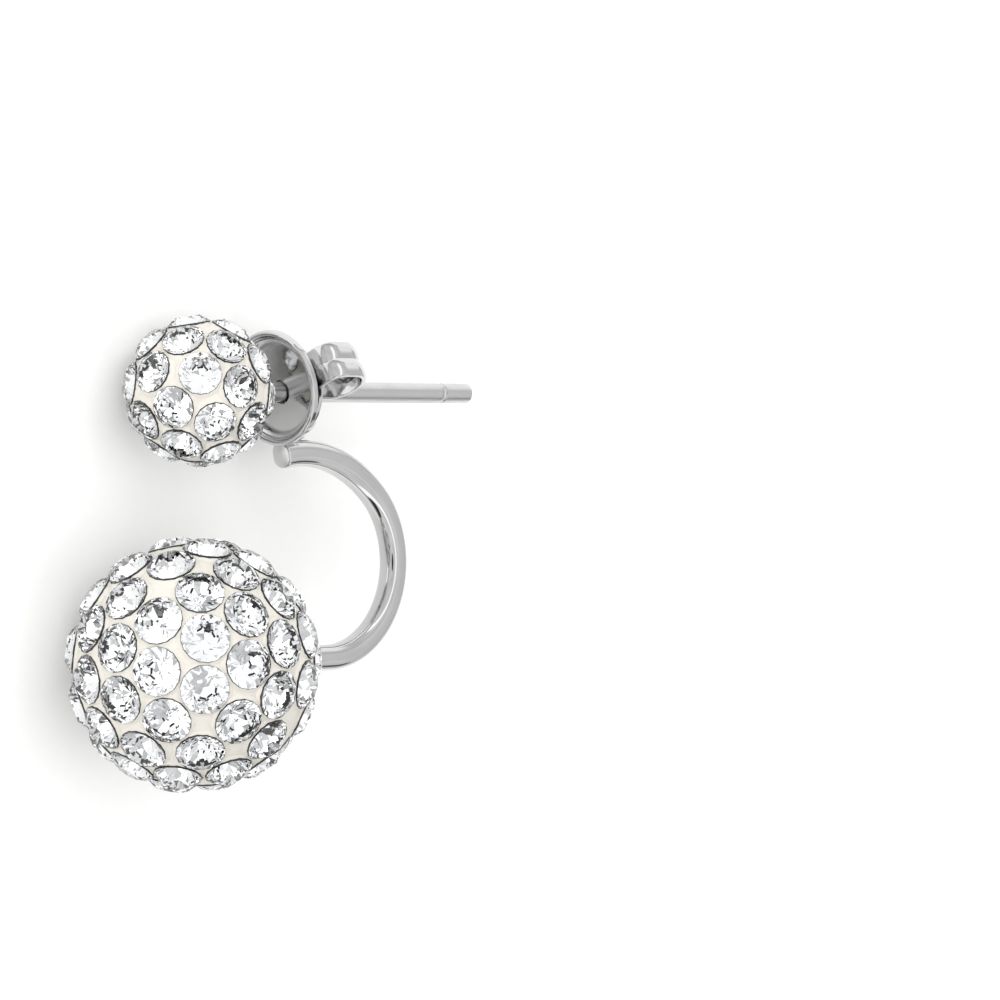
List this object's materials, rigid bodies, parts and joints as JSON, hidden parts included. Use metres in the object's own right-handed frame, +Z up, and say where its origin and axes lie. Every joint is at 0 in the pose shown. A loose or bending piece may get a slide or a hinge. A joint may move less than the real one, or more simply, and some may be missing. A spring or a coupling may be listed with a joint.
{
  "type": "ear jacket earring",
  "caption": "Ear jacket earring: small paved ball on a straight post, friction nut, and a polished dish whose curved arm carries a larger paved ball underneath.",
  "frame": {"origin": "on the floor under the middle of the box, the earring lying on its side", "axes": "+X along the post towards its tip, within 5 degrees; +Y the way that is up when the earring is worn, within 11 degrees; +Z up"},
  "size_m": [0.0198, 0.0184, 0.01],
  "materials": {
    "clay": "cream epoxy clay, matte",
    "stones": "foil-backed clear rhinestone",
    "silver": "rhodium-plated silver, highly polished"
  },
  "bodies": {
    "stud": {"small_ball": "clay", "small_stones": "stones", "post": "silver"},
    "nut": {"nut": "silver"},
    "jacket": {"jacket": "silver", "large_ball": "clay", "large_stones": "stones"}
  },
  "joints": [
    {"name": "nut_slide", "type": "slide", "parent": "stud", "child": "nut", "axis": [0.997, 0, -0.0778], "range_m": [0, 0.0105]},
    {"name": "jacket_swing", "type": "hinge", "parent": "stud", "child": "jacket", "pos_m": [-0.00033, 0.00626, 0.00261], "axis": [0.997, 0, -0.0778], "range_deg": [-75, 18]}
  ]
}
